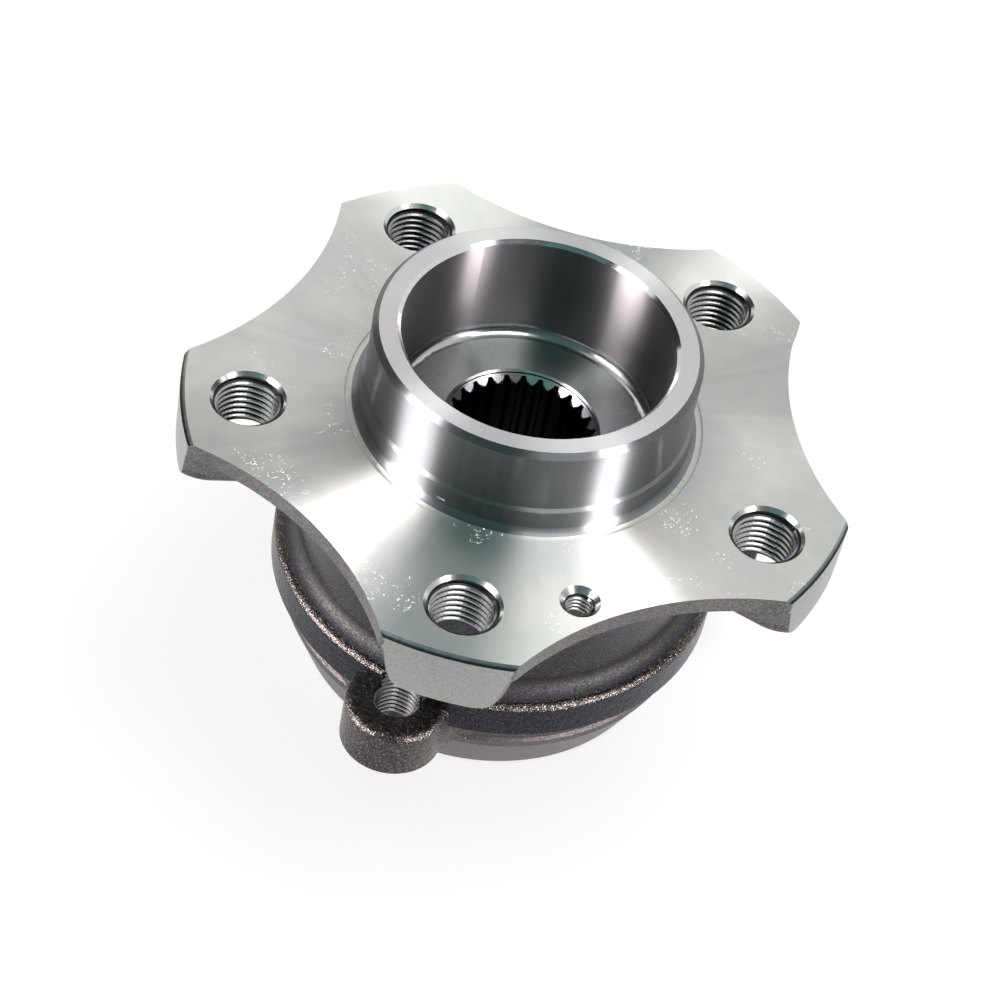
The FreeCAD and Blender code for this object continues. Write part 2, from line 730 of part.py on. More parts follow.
def add_ears(doc, body, d):
    """Ears on the knuckle face, each a round boss that flares into the ring."""
    sketch = new_sketch(body, "ear_outline", "XY_Plane")
    ring = d.waist_radius
    fillet = d.ear_flank_fillet
    far = ring + fillet
    near_boss = d.ear_boss_radius + fillet
    bolt = d.ear_bolt_radius
    across = (far * far + bolt * bolt - near_boss * near_boss) / (bolt * 2.0)
    up = side_of(far, across)
    ring_share = ring / far
    boss_share = d.ear_boss_radius / near_boss
    ring_point = (across * ring_share, up * ring_share)
    boss_point = (bolt + (across - bolt) * boss_share, up * boss_share)
    tip = (bolt + d.ear_boss_radius, as_size(0.0))
    centre = (bolt, as_size(0.0))
    low_ring = (ring_point[0], -ring_point[1])
    low_boss = (boss_point[0], -boss_point[1])
    inner = d.ear_root_radius * cosine(d.ear_root_angle)
    draw_outline(sketch, (inner, -ring_point[1]), [
        line_to(*low_ring),
        arc_to(*low_boss, fillet, (across, -up)),
        arc_to(*tip, d.ear_boss_radius, centre),
        arc_to(*boss_point, d.ear_boss_radius, centre),
        arc_to(*ring_point, fillet, (across, up)),
        line_to(inner, ring_point[1]),
    ])
    ear = body.newObject("PartDesign::Pad", "ear")
    ear.Profile = sketch
    ear.Length = d.ear_height.value
    ear.setExpression("Length", d.ear_height.text)
    doc.recompute()
    pattern = repeat(body, ear, d.ear_count, d.ear_spacing)
    doc.recompute()

    def is_ear_rim(points):
        on_top = all(near(point.z, d.ear_height.value) for point in points)
        outside = radius_of(points[1]) > d.collar_radius.value
        return on_top and outside and not near(radius_of(points[1]), d.collar_radius.value)

    rim = pick_edges(pattern, is_ear_rim)
    rounding = dress(body, "PartDesign::Fillet", "ear_rims", pattern, rim, "Radius", d.ear_rounding)
    doc.recompute()
    return rounding


def make_outer_ring(doc, d):
    """The fixed ring that bolts to the knuckle."""
    body = new_body(doc, "outer_ring")
    revolve(body, "outer_ring_turning", *outer_ring_profile(d))
    doc.recompute()
    add_ears(doc, body, d)
    bolt = d.ear_bolt_radius
    top = d.collar_top + d.drum_flare * 2.0
    below = -d.spigot_length - PAST
    mouth = d.ear_hole_radius + d.ear_hole_chamfer
    hole = groove_about(body, "knuckle_bolt_hole", bolt, (bolt, below), [
        line_to(bolt + mouth, below),
        line_to(bolt + mouth, 0.0),
        line_to(bolt + d.ear_hole_radius, d.ear_hole_chamfer),
        line_to(bolt + d.ear_hole_radius, top),
        line_to(bolt, top),
    ])
    doc.recompute()
    repeat(body, hole, d.ear_count, d.ear_spacing)
    clocking = d.middle_ear_angle - d.ear_spacing
    body.Placement = Placement(Vector(), Rotation(Vector(0, 0, 1), clocking.value))
    body.setExpression("Placement.Rotation.Angle", "%s * 1 deg" % clocking.text)
    doc.recompute()
    return body


def make_cage(doc, d, label, row_height, outwards):
    """A snap cage: a rim on the seal side, and prongs that hold the balls from it."""
    body = new_body(doc, label)
    pocket = d.ball_radius + d.pocket_clearance
    back = row_height + (pocket + d.cage_rim) * outwards
    front = row_height - d.cage_prong * outwards
    chamfer = d.cage_chamfer
    revolve(body, label + "_turning", (d.cage_inner_radius, front), [
        line_to(d.cage_outer_radius, front),
        line_to(d.cage_outer_radius, back - chamfer * outwards),
        line_to(d.cage_outer_radius - chamfer, back),
        line_to(d.cage_inner_radius + chamfer, back),
        line_to(d.cage_inner_radius, back - chamfer * outwards),
    ])
    doc.recompute()
    pitch = d.pitch_radius
    high = (pitch, row_height + pocket)
    side = (pitch + pocket, row_height)
    low = (pitch, row_height - pocket)
    socket = groove_about(body, label + "_pocket", pitch, low, [
        arc_to(*side, pocket, (pitch, row_height)),
        arc_to(*high, pocket, (pitch, row_height)),
    ])
    doc.recompute()
    repeat(body, socket, d.ball_count)
    doc.recompute()
    return body


def make_balls(doc, d, row_name, row_height):
    """One row of steel balls, evenly spaced."""
    balls = []
    step = as_size(360.0) / d.ball_count
    for number in range(int(round(d.ball_count.value))):
        label = "ball_%s_%02d" % (row_name, number + 1)
        ball = doc.addObject("Part::Sphere", label)
        ball.Label = label
        angle = step * float(number)
        ball.Radius = d.ball_radius.value
        ball.setExpression("Radius", d.ball_radius.text)
        ball.setExpression("Placement.Base.x", (d.pitch_radius * cosine(angle)).text)
        ball.setExpression("Placement.Base.y", (d.pitch_radius * sine(angle)).text)
        ball.setExpression("Placement.Base.z", row_height.text)
        balls.append(ball)
    return balls


def make_turned(doc, label, start, steps):
    body = new_body(doc, label)
    revolve(body, label + "_turning", start, steps)
    doc.recompute()
    return body


def make_outboard_seal(doc, d):
    """Steel core pressed into the outer ring, with rubber lips on the hub's neck and flange."""
    wall = d.seal_bore_radius
    sheet = d.seal_sheet
    top = d.outer_ring_top - d.seal_inset
    floor = d.outer_ring_top - d.seal_bore_depth + d.seal_inset
    core = make_turned(doc, "outboard_seal_core", (d.seal_flange_radius, floor), [
        line_to(wall, floor),
        line_to(wall, top),
        line_to(wall - sheet, top),
        line_to(wall - sheet, floor + sheet),
        line_to(d.seal_flange_radius, floor + sheet),
    ])
    run = d.neck_radius + d.lip_clearance
    lip = d.lip_thickness
    flange_back = d.wheel_face_height - d.web_root_thickness - d.flinger_gap
    base = floor + sheet
    web = base + lip
    dust_foot = wall - sheet - lip * 2.0
    rubber = make_turned(doc, "outboard_seal_lip", (run + lip, base), [
        line_to(wall - sheet, base),
        line_to(wall - sheet, web),
        line_to(dust_foot + lip, web),
        line_to(dust_foot + lip * 2.0, flange_back),
        line_to(dust_foot + lip, flange_back),
        line_to(dust_foot - lip, web),
        line_to(run + lip * 2.5, web),
        line_to(run + lip, web + lip * 2.0),
        line_to(run, web + lip * 2.0),
        line_to(run, web + lip),
    ])
    return [core, rubber]


def make_inboard_seal(doc, d):
    """Cassette seal: case in the outer ring, slinger on the inner ring, encoder on the slinger."""
    wall = d.seal_bore_radius
    sheet = d.seal_sheet
    floor = d.outer_ring_bottom + d.seal_bore_depth - d.seal_inset
    mouth = d.outer_ring_bottom + d.seal_inset
    case = make_turned(doc, "inboard_seal_case", (d.seal_flange_radius, floor), [
        line_to(wall, floor),
        line_to(wall, mouth),
        line_to(wall - sheet, mouth),
        line_to(wall - sheet, floor - sheet),
        line_to(d.seal_flange_radius, floor - sheet),
    ])
    land = d.inner_shoulder_radius
    thin = d.slinger_sheet
    disc_low = d.inner_ring_bottom + d.slinger_inset
    disc_high = disc_low + thin
    sleeve_top = disc_low + d.slinger_length
    slinger = make_turned(doc, "slinger", (land, disc_low), [
        line_to(d.slinger_radius, disc_low),
        line_to(d.slinger_radius, disc_high),
        line_to(land + thin, disc_high),
        line_to(land + thin, sleeve_top),
        line_to(land, sleeve_top),
    ])
    encoder = make_turned(doc, "encoder_ring", (d.encoder_inner_radius, disc_low), [
        line_to(d.slinger_radius, disc_low),
        line_to(d.slinger_radius, disc_low - d.encoder_thickness),
        line_to(d.encoder_inner_radius, disc_low - d.encoder_thickness),
    ])
    lip = d.lip_thickness
    run = land + thin + d.lip_clearance
    base = floor - sheet
    web = base - lip
    face = disc_high + d.lip_clearance
    dust_foot = wall - sheet - lip * 2.0
    rubber = make_turned(doc, "inboard_seal_lip", (run + lip, base), [
        line_to(wall - sheet, base),
        line_to(wall - sheet, web),
        line_to(dust_foot, web),
        line_to(dust_foot, face),
        line_to(dust_foot - lip, face),
        line_to(dust_foot - lip, web),
        line_to(run + lip * 2.0, web),
        line_to(run + lip, web - lip),
        line_to(run, web - lip),
        line_to(run, web),
    ])
    return [case, slinger, encoder, rubber]


def check_and_export(doc, parts):
    """Stops on a failed feature or an unsound solid, then writes one file for each part."""
    for item in doc.Objects:
        if "Invalid" in item.State or "Error" in item.State:
            raise RuntimeError("%s failed: %s" % (item.Name, item.State))
    for item in parts:
        shape = item.Shape
        if shape.isNull() or not shape.isValid() or len(shape.Solids) != 1:
            raise RuntimeError("%s is not one sound solid" % item.Label)
    os.makedirs("parts", exist_ok=True)
    for item in parts:
        item.Shape.exportStep("parts/%s.step" % item.Label)


def main():
    doc = FreeCAD.newDocument("wheel_hub_bearing")
    d = make_sheet(doc)
    parts = [make_hub(doc, d), make_inner_ring(doc, d), make_outer_ring(doc, d)]
    parts.append(make_cage(doc, d, "cage_outboard", d.outboard_row_height, 1.0))
    parts.append(make_cage(doc, d, "cage_inboard", d.inboard_row_height, -1.0))
    parts += make_balls(doc, d, "outboard", d.outboard_row_height)
    parts += make_balls(doc, d, "inboard", d.inboard_row_height)
    parts += make_outboard_seal(doc, d)
    parts += make_inboard_seal(doc, d)
    doc.recompute()
    check_and_export(doc, parts)


main()
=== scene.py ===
import math
from collections import namedtuple

import bpy
import numpy as np
from mathutils import Matrix, Vector
from mathutils.bvhtree import BVHTree


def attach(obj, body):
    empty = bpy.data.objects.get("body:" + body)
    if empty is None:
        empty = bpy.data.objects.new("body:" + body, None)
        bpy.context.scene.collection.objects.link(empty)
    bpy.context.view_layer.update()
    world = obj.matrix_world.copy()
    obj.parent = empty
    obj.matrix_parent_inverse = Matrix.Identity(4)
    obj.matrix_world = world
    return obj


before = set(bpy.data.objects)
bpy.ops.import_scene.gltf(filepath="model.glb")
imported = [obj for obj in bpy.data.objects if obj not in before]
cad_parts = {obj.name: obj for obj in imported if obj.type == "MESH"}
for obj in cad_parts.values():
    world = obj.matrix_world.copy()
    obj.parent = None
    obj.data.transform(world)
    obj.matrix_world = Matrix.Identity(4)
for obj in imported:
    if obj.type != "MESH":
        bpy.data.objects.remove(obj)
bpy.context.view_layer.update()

MM = 0.001
WHITE = (1.0, 1.0, 1.0)
CLOUD_TINT = (0.50, 0.56, 0.54)
NICK_TINT = (0.95, 0.96, 0.96)
# Colour of the painted glints on forged steel.
PAINTED_GLINT_TINT = (0.46, 0.42, 0.40)

# Scale of the finest grain's noise, and how much wider a forging's lumps are than its grain.
FINEST_GRAIN = 2600.0
LUMP_SHARE = 3.5

# Height of the flange's wheel face, and the threaded holes: their angles and the radii of their circles.
FACE_MM = 53.0
WHEEL_BOLT_ANGLES = (0.0, 72.0, 144.0, 216.0, 288.0)
WHEEL_BOLT_CIRCLE_MM = 56.0
DISC_SCREW_ANGLE = 168.0
DISC_SCREW_CIRCLE_MM = 52.0
EAR_ANGLES = (6.2, 132.2, 258.2)
EAR_BOLT_CIRCLE_MM = 48.5


def polar(radius, angle, height=0.0):
    turn = math.radians(angle)
    return Vector((radius * math.cos(turn), radius * math.sin(turn), height))


def opaque(colour):
    return (*colour, 1.0)


class Graph:
    """A node tree, with short calls for the nodes that the finishes, the floor and the world share."""

    # A mix node's sockets for colours, by number, because its sockets for other kinds share their names.
    MIX_SHARE, MIX_FIRST, MIX_SECOND, MIX_RESULT = 0, 6, 7, 2

    def __init__(self, tree):
        self.nodes = tree.nodes
        self.links = tree.links
        self.nodes.clear()

    def node(self, kind, inputs=None, **settings):
        made = self.nodes.new(kind)
        for key, value in settings.items():
            setattr(made, key, value)
        for key, value in (inputs or {}).items():
            self.feed(made.inputs[key], value)
        return made

    def feed(self, socket, value):
        """Links the socket to another one, or gives it a constant value."""
        if isinstance(value, bpy.types.NodeSocket):
            self.links.new(value, socket)
        else:
            socket.default_value = value

    def calc(self, operation, first, second=0.0):
        return self.node("ShaderNodeMath", {0: first, 1: second}, operation=operation).outputs[0]

    def weighted(self, *pairs):
        """The sum of each value times its weight."""
        total = None
        for value, weight in pairs:
            part = self.calc("MULTIPLY", value, weight)
            total = part if total is None else self.calc("ADD", total, part)
        return total

    def span(self, value, low, high, start, end):
        """value from low..high mapped to start..end and held there."""
        inputs = {0: value, 1: low, 2: high, 3: start, 4: end}
        return self.node("ShaderNodeMapRange", inputs).outputs[0]

    def blend(self, share, first, second):
        """The first colour where share is 0, the second where it is 1."""
        made = self.node("ShaderNodeMix", data_type="RGBA")
        self.feed(made.inputs[self.MIX_SHARE], share)
        for index, colour in ((self.MIX_FIRST, first), (self.MIX_SECOND, second)):
            linked = isinstance(colour, bpy.types.NodeSocket)
            self.feed(made.inputs[index], colour if linked else opaque(colour))
        return made.outputs[self.MIX_RESULT]

    def seen_by_eye_or_mirror(self):
        """1 for rays of the camera, of gloss and through glass, so that all of them see the same white."""
        path = self.node("ShaderNodeLightPath").outputs
        first = self.calc("MAXIMUM", path["Is Camera Ray"], path["Is Glossy Ray"])
        return self.calc("MAXIMUM", first, path["Is Transmission Ray"])


class Finish(Graph):
    """A material's node tree. Its patterns are fixed to the object and move with it."""

    def __init__(self, name):
        self.material = bpy.data.materials.new(name)
        self.material.use_nodes = True
        super().__init__(self.material.node_tree)
        self.surface = self.node("ShaderNodeBsdfPrincipled")
        self.node("ShaderNodeOutputMaterial", {"Surface": self.surface.outputs["BSDF"]})
        self.place = self.node("ShaderNodeTexCoord").outputs["Object"]

    def set(self, **values):
        for key, value in values.items():
            self.feed(self.surface.inputs[key.replace("_", " ")], value)

    def noise(self, scale, detail=2.0, at=None, roughness=0.5):
        inputs = {"Vector": at or self.place, "Scale": scale, "Detail": detail, "Roughness": roughness}
        return self.node("ShaderNodeTexNoise", inputs).outputs[0]

    def height(self):
        return self.node("ShaderNodeSeparateXYZ", {0: self.place}).outputs["Z"]

    def from_axis(self):
        """The way from the hub's axis, as a vector without height."""
        flatten = {0: self.place, 1: (1.0, 1.0, 0.0)}
        return self.node("ShaderNodeVectorMath", flatten, operation="MULTIPLY").outputs[0]

    def rings(self, scale, detail):
        """Noise that changes only with the radius and the height, as tool marks round the axis do."""
        radius = self.node("ShaderNodeVectorMath", {0: self.from_axis()}, operation="LENGTH").outputs["Value"]
        section = self.node("ShaderNodeCombineXYZ", {0: radius, 2: self.height()}).outputs[0]
        return self.noise(scale, detail, section)

    def spokes(self, scale):
        """Noise that changes only with the angle round the hub's axis."""
        way = self.node("ShaderNodeVectorMath", {0: self.from_axis()}, operation="NORMALIZE").outputs[0]
        return self.noise(scale, at=way)

    def tone(self, value):
        """A noise's usual range stretched to 0..1."""
        return self.span(value, 0.38, 0.62, 0.0, 1.0)

    def rough(self, value, roughness, least, most):
        """Roughness that a noise varies between two shares of its usual value."""
        return self.span(value, 0.3, 0.7, roughness * least, roughness * most)

    def bump(self, height, depth_mm, under=None):
        inputs = {"Strength": 1.0, "Distance": depth_mm * MM, "Height": height}
        if under is not None:
            inputs["Normal"] = under
        return self.node("ShaderNodeBump", inputs).outputs[0]

    def turned(self, anisotropy):
        """Stretches highlights across the tool marks that run round the hub's axis."""
        spot = self.node("ShaderNodeSeparateXYZ", {0: self.place}).outputs
        along = self.node("ShaderNodeCombineXYZ", {0: self.calc("MULTIPLY", spot["Y"], -1.0), 1: spot["X"]})
        tangent = self.node("ShaderNodeVectorTransform", {0: along.outputs[0]}, vector_type="VECTOR",
                            convert_from="OBJECT", convert_to="WORLD")
        self.set(Anisotropic=anisotropy, Anisotropic_Rotation=0.25, Tangent=tangent.outputs[0])

    def scuff(self, colour, normal, share):
        """Adds a greenish cloud, a fine grain and clusters of bright nicks. Returns colour and normal."""
        cloud = self.span(self.noise(70.0), 0.4, 0.6, 0.0, 0.35)
        colour = self.blend(cloud, colour, CLOUD_TINT)
        normal = self.bump(self.noise(FINEST_GRAIN), 0.004, normal)
        spots = self.span(self.noise(1500.0, detail=1.0), 0.75 - share, 0.78 - share, 0.0, 1.0)
        clusters = self.span(self.noise(80.0), 0.57, 0.63, 0.0, 1.0)
        nick = self.calc("MULTIPLY", spots, clusters)
        return self.blend(nick, colour, NICK_TINT), self.bump(nick, 0.05, normal)


def machined(name, dark, light, roughness, anisotropy=0.0, mark_mm=0.22, mark_depth_mm=0.0012, nicks=0.0):
    """Turned steel: fine rings, slow colour drift, and bright nicks where nicks is above 0."""
    finish = Finish(name)
    rings = finish.rings(1.0 / (mark_mm * MM), detail=3.0)
    drift = finish.noise(45.0, detail=3.0)
    tone = finish.weighted((drift, 0.5), (rings, 0.3), (finish.spokes(32.0), 0.2))
    colour = finish.blend(finish.tone(tone), dark, light)
    streaks = finish.calc("ADD", rings, finish.spokes(20.0))
    rough = finish.span(streaks, 0.7, 1.3, roughness * 0.93, roughness * 1.07)
    normal = finish.bump(rings, mark_depth_mm)
    if nicks:
        colour, normal = finish.scuff(colour, normal, nicks)
    finish.set(Base_Color=colour, Metallic=1.0, Roughness=rough, Normal=normal)
    if anisotropy:
        finish.turned(anisotropy)
    return finish.material


def forged(name, dark, light, roughness, grain_mm, depth_mm, metallic=0.85, painted_glint=0.0):
    """Scaled, shot-blasted steel: coarse lumps under a finer grain that glints, and painted glints (bright
    grains in the colour) where painted_glint is above 0.
    """
    finish = Finish(name)
    lumps = finish.noise(1.0 / (grain_mm * LUMP_SHARE * MM), detail=3.0)
    grain = finish.noise(1.0 / (grain_mm * MM), detail=3.0, roughness=0.6)
    facets = finish.noise(FINEST_GRAIN)
    tone = finish.weighted((finish.noise(28.0, detail=4.0), 0.4), (facets, 0.6))
    colour = finish.blend(finish.tone(tone), dark, light)
    # Painted glints: bright specks of grain painted into the colour, standing in for sparkle of light.
    if painted_glint:
        colour = finish.blend(finish.span(facets, 0.56, 0.70, 0.0, painted_glint), colour, PAINTED_GLINT_TINT)
    normal = finish.bump(grain, depth_mm, finish.bump(lumps, depth_mm * 2.0))
    rough = finish.rough(grain, roughness, 0.75, 1.2)
    finish.set(Base_Color=colour, Metallic=metallic, Roughness=rough, Normal=normal)
    return finish.material


def rolled_edge(name, foot, brow, roughness):
    """The flange's rim chamfer: bright next to the wheel face, dark at its foot."""
    finish = Finish(name)
    share = finish.span(finish.height(), (FACE_MM - 0.6) * MM, (FACE_MM - 0.3) * MM, 0.0, 1.0)
    rough = finish.rough(finish.noise(900.0), roughness, 0.9, 1.1)
    finish.set(Base_Color=finish.blend(share, foot, brow), Metallic=1.0, Roughness=rough)
    return finish.material


def moulded(name, dark, light, roughness, grain_mm=0.35, depth_mm=0.01):
    """Rubber or plastic with a fine moulded grain."""
    finish = Finish(name)
    grain = finish.noise(1.0 / (grain_mm * MM))
    finish.set(Base_Color=finish.blend(finish.noise(60.0), dark, light),
               Roughness=finish.rough(grain, roughness, 0.85, 1.15), Normal=finish.bump(grain, depth_mm))
    return finish.material


# Limits for choosing faces: FAR leaves one end open, and ANY leaves both open.
FAR = math.inf
ANY = (-FAR, FAR)


def between(values, limits):
    low, high = limits
    return (values > low) & (values < high)


class Faces:
    """The faces of a CAD node at rest: centres in millimetres, normals and radii.

    up is 1 on a face that faces the wheel, and out is 1 on a wall that faces straight away from the axis.
    """

    def __init__(self, node):
        self.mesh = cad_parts[node].data
        count = len(self.mesh.polygons)
        centre = np.zeros(count * 3, np.float32)
        normal = np.zeros(count * 3, np.float32)
        self.mesh.polygons.foreach_get("center", centre)
        self.mesh.polygons.foreach_get("normal", normal)
        self.centre = centre.reshape(-1, 3) / MM
        self.normal = normal.reshape(-1, 3)
        self.radius = np.hypot(self.centre[:, 0], self.centre[:, 1])
        self.height = self.centre[:, 2]
        self.up = self.normal[:, 2]
        self.out = (self.centre[:, :2] * self.normal[:, :2]).sum(axis=1) / np.maximum(self.radius, 1e-6)

    def zone(self, radius=ANY, height=ANY, up=ANY, out=ANY):
        """Picks faces by their radius and height, and by how far they face up and away from the axis."""
        return (between(self.radius, radius) & between(self.height, height) & between(self.up, up)
                & between(self.out, out))

    def from_hole(self, circle_mm, angle):
        """Each face's distance in millimetres from the axis of a hole on a circle."""
        hole = polar(circle_mm, angle)
        return np.hypot(self.centre[:, 0] - hole.x, self.centre[:, 1] - hole.y)

    def toward_hole(self, circle_mm, angle):
        """1 on a wall that faces the hole's axis, 0 across it, -1 on a wall that faces away."""
        hole = polar(circle_mm, angle)
        gap = np.stack([hole.x - self.centre[:, 0], hole.y - self.centre[:, 1]], axis=1)
        gap /= np.maximum(np.linalg.norm(gap, axis=1, keepdims=True), 1e-6)
        return (gap * self.normal[:, :2]).sum(axis=1)

    def paint(self, finishes, rules):
        """Gives each face the finish of the last rule that takes it, or else the first finish."""
        names = list(finishes)
        chosen = np.zeros(len(self.radius), np.int32)
        for name, taken in rules:
            chosen[taken] = names.index(name)
        self.mesh.materials.clear()
        for name in names:
            self.mesh.materials.append(finishes[name])
        self.mesh.polygons.foreach_set("material_index", chosen)
        self.mesh.update()


def hub_finishes():
    fine = {"mark_mm": 0.16, "mark_depth_mm": 0.0006}
    return {
        "forging": forged("hub_forging", (0.035, 0.034, 0.034), (0.11, 0.105, 0.10), roughness=0.36,
                          grain_mm=0.45, depth_mm=0.09, painted_glint=0.25),
        # The wheel face: turned steel with its colour raised lighter, partly the steel's own colour and
        # partly painted light.
        "face": machined("hub_wheel_face", (0.70, 0.705, 0.67), (0.80, 0.795, 0.76), roughness=0.43,
                         anisotropy=1.0, nicks=0.11),
        # Darker copies of the turned steel for the pilot's walls, lining and foot: painted shade.
        "wall": machined("hub_pilot_wall_painted_shade", (0.14, 0.145, 0.15), (0.18, 0.185, 0.19), roughness=0.36,
                         anisotropy=1.0, **fine),
        "lining": machined("hub_pilot_lining_painted_shade", (0.21, 0.20, 0.21), (0.27, 0.255, 0.265), roughness=0.36,
                           anisotropy=1.0, **fine),
        "foot": machined("hub_pilot_foot_painted_shade", (0.20, 0.21, 0.215), (0.27, 0.28, 0.285), roughness=0.34,
                         anisotropy=1.0, **fine),
        "bevel": machined("hub_pilot_bevel", (0.55, 0.56, 0.56), (0.66, 0.67, 0.67), roughness=0.14,
                          anisotropy=0.5, mark_mm=0.12, mark_depth_mm=0.0006),
        "flank": forged("hub_flank", (0.075, 0.073, 0.070), (0.20, 0.195, 0.185), roughness=0.40,
                        grain_mm=0.45, depth_mm=0.05, painted_glint=0.15),
        "crown": machined("hub_pilot_crown", (0.54, 0.545, 0.54), (0.62, 0.625, 0.62), roughness=0.36,
                          anisotropy=0.88),
        "rim": forged("hub_rim", (0.26, 0.26, 0.25), (0.37, 0.37, 0.355), roughness=0.42, grain_mm=0.5,
                      depth_mm=0.03),
        "edge": rolled_edge("hub_edge", (0.045, 0.05, 0.055), (0.30, 0.33, 0.335), roughness=0.3),
        # The recess floor in a darker copy of the turned steel: painted shade.
        "recess": machined("hub_recess", (0.24, 0.265, 0.265), (0.33, 0.355, 0.355), roughness=0.36,
                           anisotropy=1.0),
        "corner": machined("hub_recess_corner", (0.36, 0.38, 0.38), (0.44, 0.46, 0.46), roughness=0.18,
                           anisotropy=0.5, mark_mm=0.6, mark_depth_mm=0.0002),
        "sink": machined("hub_countersink", (0.55, 0.57, 0.58), (0.68, 0.70, 0.70), roughness=0.2,
                         mark_mm=0.12, mark_depth_mm=0.002),
        # Near-black copies of the turned steel for the hole walls and the splined bore: painted shade.
        "hole": machined("hub_hole_wall_painted_shade", (0.025, 0.025, 0.026), (0.05, 0.05, 0.052), roughness=0.3),
        "bore": machined("hub_spline_painted_shade", (0.02, 0.02, 0.022), (0.045, 0.045, 0.048), roughness=0.32),
        "ground": machined("hub_ground", (0.42, 0.43, 0.44), (0.50, 0.51, 0.52), roughness=0.22,
                           anisotropy=0.6),
    }


def paint_hub():
    hub = Faces("hub")
    upright = (-0.3, 0.3)
    steep = (-0.4, 0.4)
    bolt_sink_mm, bolt_wall_mm, screw_sink_mm = 7.9, 7.1, 4.3
    bolt = np.min([hub.from_hole(WHEEL_BOLT_CIRCLE_MM, angle) for angle in WHEEL_BOLT_ANGLES], axis=0)
    screw = hub.from_hole(DISC_SCREW_CIRCLE_MM, DISC_SCREW_ANGLE)
    at_bolt = (bolt < bolt_sink_mm) & hub.zone(height=(39.9, FAR), up=(-0.95, 0.95))
    at_screw = (screw < screw_sink_mm) & hub.zone(height=(45.0, FAR), up=(-0.95, 0.95))
    hub.paint(hub_finishes(), [
        # Wheel face with the relief round the pilot, then the pilot's fillet and the disc seat's step in a
        # darker copy: painted shade
        ("face", hub.zone(radius=(33.3, FAR), height=(52.0, FAR), up=(0.5, FAR))),
        ("face", hub.zone(radius=(33.2, 37.2), height=(52.6, FAR))),
        ("foot", hub.zone(radius=(33.2, 36.4), height=(52.7, 59.0), up=(0.02, 0.925))),
        # Chamfer along the flange's rim
        ("edge", hub.zone(radius=(38.5, FAR), height=(51.6, FAR), up=(0.12, 0.97))),
        # Pilot: both walls, the lining inside, the crown and its two chamfers; walls and lining in darker
        # copies: painted shade
        ("wall", hub.zone(radius=(27.0, 34.2), height=(50.0, FAR), up=steep)),
        ("lining", hub.zone(radius=(27.0, 29.0), height=(50.0, FAR), up=steep)),
        ("crown", hub.zone(height=(72.0, FAR), up=(0.5, FAR))),
        ("wall", hub.zone(radius=(31.9, FAR), height=(72.0, FAR), up=(0.5, 0.95))),
        ("bevel", hub.zone(radius=(-FAR, 30.0), height=(71.5, FAR), up=(0.3, 0.95))),
        # Scallops and lobe sides
        ("flank", hub.zone(radius=(38.0, FAR), height=(43.5, FAR), up=upright)),
        # Recess floor, in a darker copy of the steel as painted shade, and its corner
        ("recess", hub.zone(radius=(-FAR, 27.8), height=(47.5, 50.5))),
        ("corner", hub.zone(radius=(25.5, 27.8), height=(47.9, 50.3), up=(0.001, FAR))),
        # Lobe ends
        ("rim", hub.zone(radius=(66.0, FAR), up=upright, out=(0.985, FAR))),
        # Splined bore, in a near-black copy of the steel as painted shade, its mouth, and the ground neck and
        # raceway
        ("bore", hub.zone(radius=(-FAR, 16.7), height=(-FAR, 48.1))),
        ("sink", hub.zone(radius=(-FAR, 17.2), height=(46.0, 48.4), up=(0.3, FAR))),
        ("ground", hub.zone(radius=(16.7, 31.3), height=(-FAR, 45.6))),
        # Wheel bolt and disc screw holes, their walls in a near-black copy of the steel: painted shade
        ("sink", (at_bolt | at_screw) & (hub.up > 0.3)),
        ("hole", ((at_bolt & (bolt < bolt_wall_mm)) | at_screw) & between(hub.up, upright)),
    ])


def outer_ring_finishes():
    return {
        "forging": forged("ring_forging", (0.022, 0.018, 0.017), (0.13, 0.112, 0.105), roughness=0.24,
                          grain_mm=0.34, depth_mm=0.15, painted_glint=0.42),
        # Darker copies of the forging for the flare, band and drum under the hub's flange: painted shade.
        "flare": forged("ring_flare_painted_shade", (0.020, 0.019, 0.022), (0.062, 0.058, 0.062), roughness=0.62,
                        grain_mm=0.40, depth_mm=0.05, metallic=0.6, painted_glint=0.06),
        "band": forged("ring_band_painted_shade", (0.006, 0.007, 0.013), (0.028, 0.029, 0.040), roughness=0.30,
                       grain_mm=0.36, depth_mm=0.08, painted_glint=0.13),
        "drum": forged("ring_drum_painted_shade", (0.030, 0.031, 0.036), (0.085, 0.085, 0.09), roughness=0.30,
                       grain_mm=0.5, depth_mm=0.02, painted_glint=0.06),
        "waist": forged("ring_waist", (0.06, 0.052, 0.052), (0.14, 0.122, 0.122), roughness=0.58,
                        grain_mm=0.35, depth_mm=0.05, metallic=0.7, painted_glint=0.08),
        "spigot": forged("ring_spigot", (0.085, 0.074, 0.074), (0.17, 0.150, 0.150), roughness=0.44,
                         grain_mm=0.4, depth_mm=0.02),
        # A dark copy of the cut steel for the ears' hole walls: painted shade.
        "hole": machined("ring_hole_wall_painted_shade", (0.04, 0.038, 0.038), (0.08, 0.076, 0.076), roughness=0.3),
        "ground": machined("ring_ground", (0.42, 0.43, 0.44), (0.50, 0.51, 0.52), roughness=0.22,
                           anisotropy=0.6),
    }


